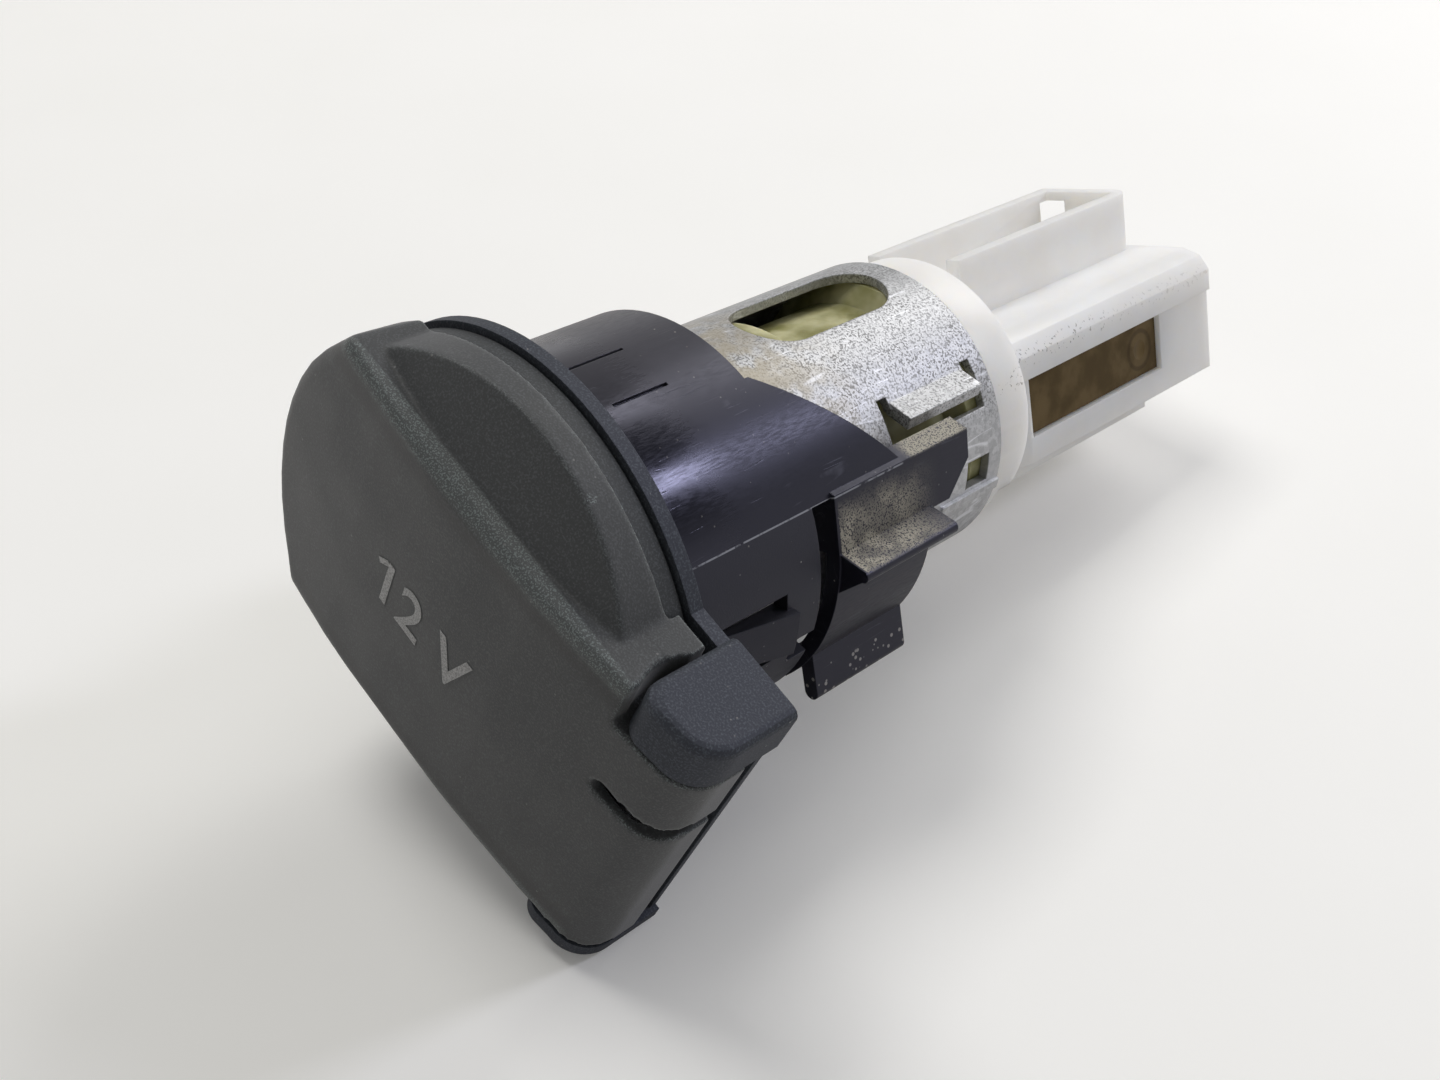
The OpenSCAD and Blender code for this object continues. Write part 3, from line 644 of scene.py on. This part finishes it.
# %% The connector with soft edges
connector_edge = 0.25
connector_shell = copy_node("connector_shell", "connector_body")
bpy.ops.object.mode_set(mode="EDIT")
bpy.ops.mesh.select_all(action="SELECT")
bpy.ops.mesh.dissolve_limited(angle_limit=math.radians(0.5))
bpy.ops.object.mode_set(mode="OBJECT")
apply_modifier(connector_shell, "BEVEL", width=connector_edge * MM, segments=2,
               limit_method="ANGLE", angle_limit=math.radians(25), use_clamp_overlap=True)
bpy.ops.object.shade_smooth_by_angle(angle=math.radians(32))
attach(connector_shell, "socket")
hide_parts("connector_body")
print("connector_shell has", len(connector_shell.data.polygons), "faces")

# %% [markdown]
# ## Black plastic
#
# The housing is moulded in a glossy black with a blue cast, and is full of hair-thin
# scratches from sliding into the panel. Under the parting line, which is a thin pale ridge
# along the sleeve, the sleeve is rougher, and a little paler as painted light: the real
# sleeve turns there into a flatter side that catches the bench's light, and here it stays
# round. The upper side is painted a lighter grey, as a painted reflection of the bright
# room, and the ears beside the lid are as matt as the lid. The solid could be cut up to give
# each place a material of its own, but the real one is a single moulding. So one finish
# changes with the place: the distance along the axis and the angle round it.

# %% Scratches, and places round the axis


def hairlines(finish, turn, spacing, width, stretch=(1, 0.12, 1)):
    """Thin long scratches: the places where a stretched noise passes its middle value."""
    streaks = clouds(finish, millimetres(finish, stretch, turn), spacing, 1)
    off_middle = arithmetic(finish, "ABSOLUTE", arithmetic(finish, "SUBTRACT", streaks, 0.5))
    return arithmetic(finish, "SUBTRACT", 1.0, between(finish, off_middle, 0, width))


def length_of(finish, vector):
    return add_node(finish, "VectorMath", {"operation": "LENGTH"}, i0=vector).outputs["Value"]


def off_axis(finish, where):
    """How far a place is from the socket's axis, which is y."""
    across = add_node(finish, "VectorMath", {"operation": "MULTIPLY"}, i0=where, i1=(1, 0, 1))
    return length_of(finish, across.outputs[0])


# %% Places on the housing
parting_line = 50
dull_from = -60
sleeve_end = 14.4
ramp_end = 21.2
black_gloss = new_finish("black_gloss")
where = millimetres(black_gloss)
axes = axes_of(black_gloss, where)
along = axes[1]
angle = arithmetic(black_gloss, "ARCTAN2", axes[2], axes[0])
angle = arithmetic(black_gloss, "MULTIPLY", angle, math.degrees(1))
front_side = between(black_gloss, along, 0.02, 0.06, 1, 0)
# Below the parting line: rougher, and a little paler as painted light for a flatter facet.
dull_and_lit = both(black_gloss, zone(black_gloss, angle, dull_from, parting_line - 0.2, soft=0.3),
            zone(black_gloss, along, 0.2, sleeve_end, soft=0.1))
ridge = both(black_gloss, zone(black_gloss, angle, parting_line - 0.1, parting_line + 0.2, soft=0.15),
             zone(black_gloss, along, 0.3, ramp_end, soft=0.1),
             between(black_gloss, clouds(black_gloss, where, 0.8, 3), 0.36, 0.5))
# The upper side, which is painted lighter as a reflection of the bright room.
painted_reflection_top = both(black_gloss, zone(black_gloss, angle, 110, 150, soft=28),
                 between(black_gloss, along, 0.2, 0.4))
print("parting line is", parting_line, "degrees round")

# %% Colours of the black plastic
first = hairlines(black_gloss, (0.1, 0.4, 0.3), spacing=1.6, width=0.008, stretch=(1, 0.05, 1))
second = hairlines(black_gloss, (0.2, 1.1, -0.6), spacing=1.9, width=0.007, stretch=(1, 0.05, 1))
gaps = between(black_gloss, clouds(black_gloss, where, 2.4, 4), 0.50, 0.66)
scratches = both(black_gloss, arithmetic(black_gloss, "MAXIMUM", first, second), gaps)
seen_scratches = both(black_gloss, scratches, arithmetic(black_gloss, "SUBTRACT", 1, dull_and_lit))
grain = clouds(black_gloss, where, grain_size, 2)
matt_front = grained(black_gloss, grain, grey(0.036, -0.12), grey(0.085, -0.12))
plain_black = (0.0080, 0.0082, 0.0125, 1)
scratched_black = (0.045, 0.046, 0.060, 1)
colour = blend(black_gloss, seen_scratches, plain_black, scratched_black)
# Painted reflection of the bright room on the upper side.
colour = blend(black_gloss, painted_reflection_top, colour, (0.050, 0.049, 0.056, 1))
# Painted light below the parting line: a paler, duller black.
colour = blend(black_gloss, dull_and_lit, colour, (0.020, 0.0205, 0.024, 1))
colour = blend(black_gloss, ridge, colour, (0.30, 0.31, 0.34, 1))
colour = blend(black_gloss, front_side, colour, matt_front)
print("black plastic has", len(black_gloss.node_tree.nodes), "nodes so far")

# %% [markdown]
# Beige dust lies on the tongue, in patches of powder. Pale specks stick to the whole
# housing, and sit closer together on the fin. Both could be a texture painted by hand.
# A mask of the place times a noise needs no picture, and follows the piece in any pose.

# %% Beige dust
tongue_low = 31
tongue_start = 14.7
powder = between(black_gloss, clouds(black_gloss, where, 0.12, 3), 0.40, 0.50)
patch = between(black_gloss, clouds(black_gloss, where, 2.4, 3), 0.36, 0.56)
on_tongue = both(black_gloss, between(black_gloss, angle, tongue_low, tongue_low + 1),
                 between(black_gloss, angle, 40, parting_line, 1, 0),
                 between(black_gloss, along, tongue_start, tongue_start + 0.1),
                 between(black_gloss, along, 19, 25, 1, 0))
on_top = both(black_gloss, zone(black_gloss, angle, 51, 56, soft=1),
              zone(black_gloss, along, 22.5, 29, soft=1))
dusty_place = arithmetic(black_gloss, "MAXIMUM", on_tongue, on_top)
dust = both(black_gloss, dusty_place, powder, between(black_gloss, patch, 0, 1, 0.5, 1))
colour = blend(black_gloss, both(black_gloss, dust, 0.9), colour, (0.47, 0.44, 0.355, 1))
print("dust starts", tongue_start, "mm along the axis")

# %% Pale specks
fin_foot = 15.0
fin_top = 24
fin_start = 14.4
loose = between(black_gloss, dots(black_gloss, where, 1.1), 0.05, 0.09, 1, 0)
specks = both(black_gloss, loose, between(black_gloss, gaps, 0, 1, 0.3, 1))
from_axis = off_axis(black_gloss, where)
on_fin = both(black_gloss, between(black_gloss, from_axis, fin_foot, fin_foot + 0.2),
              between(black_gloss, angle, fin_top, fin_top - 2),
              between(black_gloss, along, fin_start, fin_start + 0.2))
close = between(black_gloss, dots(black_gloss, where, 1.6), 0.18, 0.26, 1, 0)
specks = arithmetic(black_gloss, "MAXIMUM", specks, both(black_gloss, on_fin, close))
colour = blend(black_gloss, both(black_gloss, specks, 0.8), colour, grey(0.35, 0.05))
print("fin starts", fin_foot, "mm from the axis")

# %% [markdown]
# How rough the black is says as much as its colour. It is glossy with a fine wear, and
# the rear is scuffed from the panel. Where it is dull, matt or dusty, a higher roughness
# takes the gloss away. The scratches are a little below the surface, and the grain above.

# %% Gloss and relief of the black plastic
fine_where = millimetres(black_gloss, stretch=(1, 0.15, 1), turn=(0.5, 0.2, 0.9))
fine_wear = between(black_gloss, clouds(black_gloss, fine_where, 0.12, 3), 0.35, 0.7, 0.15, 0.24)
scuffed_rear = between(black_gloss, along, 3.5, 9, 0, 0.18)
rough = arithmetic(black_gloss, "ADD", fine_wear, scuffed_rear)
rough = blend_number(black_gloss, dull_and_lit, rough, 0.50)
rough = blend_number(black_gloss, front_side, rough, 0.62)
rough = blend_number(black_gloss, dust, rough, 0.85)
paint(black_gloss, Base_Color=colour, Roughness=rough, Specular_Tint=(0.74, 0.74, 1.0, 1))
matt_places = arithmetic(black_gloss, "ADD", front_side, dull_and_lit)
relief = arithmetic(black_gloss, "ADD", both(black_gloss, grain, matt_places),
                    both(black_gloss, scratches, -0.6))
emboss(black_gloss, relief, 0.008, soft_edge=0.09)
print("black_gloss ready")

# %% [markdown]
# The lid's inner plate is a plain satin black. Only its skirt shows beside the closed lid,
# and that is as matt and grained as the lid's own coat, so the skirt is found by its
# distance from the axis and gets that grain.

# %% Satin black, with a matt skirt
skirt_from = 16.2
skirt_start = -4.0
black_satin = new_finish("black_satin")
where = millimetres(black_satin)
sheen = clouds(black_satin, where, 2.5)
skirt = both(black_satin,
             between(black_satin, off_axis(black_satin, where), skirt_from, skirt_from + 0.2),
             between(black_satin, axes_of(black_satin, where)[1], skirt_start, skirt_start + 0.1))
grain = clouds(black_satin, where, grain_size, 2)
matt_skirt = grained(black_satin, grain, grey(0.040, -0.08), grey(0.085, -0.08))
satin = blend(black_satin, sheen, grey(0.022), grey(0.036))
matt = arithmetic(black_satin, "ADD", both(black_satin, sheen, 0.3), skirt)
paint(black_satin, Base_Color=blend(black_satin, skirt, satin, matt_skirt),
      Roughness=between(black_satin, matt, 0.1, 1, 0.38, 0.62))
emboss(black_satin, grain, 0.008)
print("black_satin ready")

# %% [markdown]
# ## Zinc
#
# The barrel is zinc-plated sheet steel. Its plating froze in small crystals, each of which
# mirrors the room a little differently, and it has dulled to pale grey with white scuffs,
# dark pits, and beige dust next to the housing. A texture of cells gives the crystals, and
# a noise bends the cells first, because real crystals have no straight borders.

# %% Crystals and pits of the zinc
zinc = new_finish("zinc_steel", metallic=1.0)
where = millimetres(zinc)
axes = axes_of(zinc, where)
warp = add_node(zinc, "TexNoise", Vector=where, Scale=2.2, Detail=3.0).outputs["Color"]
bent = add_node(zinc, "VectorMath", {"operation": "MULTIPLY_ADD"}, i0=warp, i1=(0.6, 0.6, 0.6),
                i2=where).outputs[0]
cells = add_node(zinc, "TexVoronoi", Vector=bent, Scale=2.4).outputs["Color"]
crystal = axes_of(zinc, cells)[0]
fine = clouds(zinc, where, 0.17, 3)
worn_side = between(zinc, axes[2], 6.5, 10, 0.15, 1)
pits = both(zinc, between(zinc, fine, 0.50, 0.58), worn_side)
pit_depth = between(zinc, clouds(zinc, where, 2.5), 0.35, 0.6, 0.45, 0.85)
plating = blend(zinc, crystal, (0.44, 0.445, 0.46, 1), (0.60, 0.605, 0.62, 1))
pitted = blend(zinc, both(zinc, pits, pit_depth), plating, grey(0.22))
print("zinc has", len(zinc.node_tree.nodes), "nodes so far")

# %% Dust and scuffs on the zinc
dust_from = 15
dust_to = 25
dust_patches = between(zinc, clouds(zinc, where, 1.6, 5), 0.34, 0.60)
dirt = both(zinc, between(zinc, axes[1], dust_from, dust_to, 1, 0),
            between(zinc, axes[2], 5.5, 9), dust_patches)
dusty = blend(zinc, both(zinc, dirt, 0.85), pitted, (0.42, 0.375, 0.29, 1))
scuff_patches = between(zinc, clouds(zinc, where, 3), 0.5, 0.62)
scuff = both(zinc, hairlines(zinc, (0.2, 0.3, 0.7), spacing=1.1, width=0.03), scuff_patches)
scuffed = blend(zinc, both(zinc, scuff, 0.7), dusty, (0.85, 0.86, 0.90, 1))
uneven = arithmetic(zinc, "ADD", both(zinc, crystal, 0.5), both(zinc, pits, 0.6))
paint(zinc, Base_Color=scuffed, Metallic=between(zinc, dirt, 0, 1, 0.85, 0.35),
      Roughness=between(zinc, uneven, 0, 1, 0.46, 0.64))
emboss(zinc, fine, 0.012, soft_edge=0.15)
print("zinc ready")

# %% [markdown]
# ## Nylon
#
# The connector is natural nylon: white, waxy, and a little translucent. The cup inside the
# barrel is the same nylon, painted darker and greener as painted shade for its place deep
# inside the barrel. Both get some light under the surface, because a plain white would look
# like plaster.

# %% Nylon finishes


def nylon(name, pale, deep, depth, patch_size):
    """Waxy plastic whose tone drifts a little, with light under its surface."""
    finish = new_finish(name)
    where = millimetres(finish)
    drift = between(finish, clouds(finish, where, patch_size), 0.3, 0.7)
    paint(finish, Base_Color=blend(finish, drift, deep, pale),
          Roughness=between(finish, drift, 0, 1, 0.36, 0.5),
          Subsurface_Weight=0.8, Subsurface_Radius=(1, 0.9, 0.75), Subsurface_Scale=depth * MM)
    emboss(finish, clouds(finish, where, 0.5, 3), 0.01, soft_edge=0.12)
    return finish


white_nylon = nylon("white_nylon", pale=(0.93, 0.915, 0.89, 1), deep=(0.89, 0.87, 0.84, 1),
                    depth=3, patch_size=6)
# The cup is the same nylon, painted darker and greener as painted shade inside the barrel.
aged_nylon = nylon("aged_nylon", pale=(0.56, 0.54, 0.32, 1), deep=(0.26, 0.25, 0.09, 1),
                   depth=1.5, patch_size=3)
connector_shell.data.materials.append(white_nylon)
print("nylon ready")

# %% [markdown]
# Grey crumbs of dirt have gathered along the connector's ledge. They are painted over the
# clean nylon, in coordinates that turn with the connector, so that the ledge is a straight
# strip in them.

# %% Dirt along the connector's ledge


def paint_over(finish, share, colour):
    """Lays a colour over the one that the finish has already, where share is 1."""
    below = shader_of(finish).inputs["Base Color"].links[0].from_socket
    paint(finish, Base_Color=blend(finish, share, below, colour))


connector_turn = math.radians(41)
ledge_low = 1.6
ledge_high = 2.7
ledge_side = 6.2
place = axes_of(white_nylon, millimetres(white_nylon, turn=(0, connector_turn, 0)))
ledge = both(white_nylon, zone(white_nylon, place[2], ledge_low, ledge_high, soft=0.3),
             between(white_nylon, place[0], ledge_side, ledge_side + 0.6),
             between(white_nylon, place[1], 58, 48, 0.3, 1))
crumbs = clouds(white_nylon, millimetres(white_nylon), 0.35, 3)
crumbs = between(white_nylon, crumbs, 0.60, 0.66)
paint_over(white_nylon, both(white_nylon, ledge, crumbs, 0.8), (0.24, 0.22, 0.20, 1))
print("dirt on the ledge")

# %% [markdown]
# ## Brass, tin and steel
#
# The terminals are bare brass that has tarnished in blotches, the centre contact is
# cleaner, and the rivet is tinned. One helper mixes a clean and a tarnished tone of
# each metal, because they differ only in colour and in how far they have dulled.

# %% Small metal finishes


def dulled_metal(name, clean, tarnished, low_gloss, high_gloss, blotch=1.2):
    """A metal that tarnishes in blotches of about blotch millimetres."""
    finish = new_finish(name, metallic=1.0)
    where = millimetres(finish)
    blotches = between(finish, clouds(finish, where, blotch, 5), 0.35, 0.65)
    paint(finish, Base_Color=blend(finish, blotches, clean, tarnished),
          Roughness=between(finish, blotches, 0, 1, low_gloss, high_gloss))
    emboss(finish, clouds(finish, where, 0.15, 2), 0.004)
    return finish


terminal_brass = dulled_metal("terminal_brass", (0.135, 0.095, 0.045, 1), (0.10, 0.07, 0.033, 1),
                              0.5, 0.65, blotch=3)
contact_brass = dulled_metal("contact_brass", (0.75, 0.58, 0.28, 1), (0.52, 0.38, 0.18, 1),
                             0.22, 0.42)
tinned_brass = dulled_metal("tinned_brass", (0.72, 0.70, 0.64, 1), (0.50, 0.48, 0.42, 1),
                            0.28, 0.5)
bright_steel = dulled_metal("bright_steel", (0.66, 0.66, 0.67, 1), (0.46, 0.45, 0.44, 1),
                            0.2, 0.4)
spring_steel = dulled_metal("spring_steel", (0.52, 0.53, 0.56, 1), (0.36, 0.36, 0.37, 1),
                            0.22, 0.42, blotch=0.6)
print("metals ready")

# %% [markdown]
# A ring is pressed into the terminal's wide pad. It could be modelled, but it is so shallow
# that only the dark line of shade in its groove shows. So that shade is painted as a darker
# circle in the brass: the places whose distance from the ring's centre is the ring's radius.

# %% Painted shade of the pressed ring in the terminal's pad
ring_y = 59.5
ring_height = -2.1
ring_radius = 1.6
pad_face = 6.9
place = axes_of(terminal_brass, millimetres(terminal_brass, turn=(0, connector_turn, 0)))
from_centre = add_node(terminal_brass, "CombineXYZ",
                       X=arithmetic(terminal_brass, "SUBTRACT", place[1], ring_y),
                       Y=arithmetic(terminal_brass, "SUBTRACT", place[2], ring_height))
off_centre = length_of(terminal_brass, from_centre.outputs[0])
off_ring = arithmetic(terminal_brass, "SUBTRACT", off_centre, ring_radius)
off_ring = arithmetic(terminal_brass, "ABSOLUTE", off_ring)
on_pad = between(terminal_brass, place[0], pad_face, pad_face + 0.1)
# The groove's shade, painted as a darker circle on the pad.
ring = both(terminal_brass, between(terminal_brass, off_ring, 0.08, 0.3, 1, 0), on_pad)
paint_over(terminal_brass, both(terminal_brass, ring, 0.6), (0.06, 0.04, 0.02, 1))
print("ring on the pad")

# %% [markdown]
# ## Give out the finishes
#
# Every solid of the CAD model gets its finish through the material slots that it came
# with. Those that a piece of this scene replaces get theirs too, so that no solid is left
# without one.

# %% A finish for every CAD node
finishes = {
    "housing": black_gloss, "lid_cover": soft_touch, "lid_carrier": black_satin,
    "hinge_pin": bright_steel, "lid_spring": spring_steel, "barrel": zinc,
    "contact_cup": aged_nylon, "centre_contact": contact_brass, "centre_rivet": tinned_brass,
    "connector_body": white_nylon, "centre_terminal": terminal_brass,
    "earth_terminal": terminal_brass,
}
for name, finish in finishes.items():
    for material_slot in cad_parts[name].material_slots:
        material_slot.material = finish
print(len(finishes), "nodes finished")
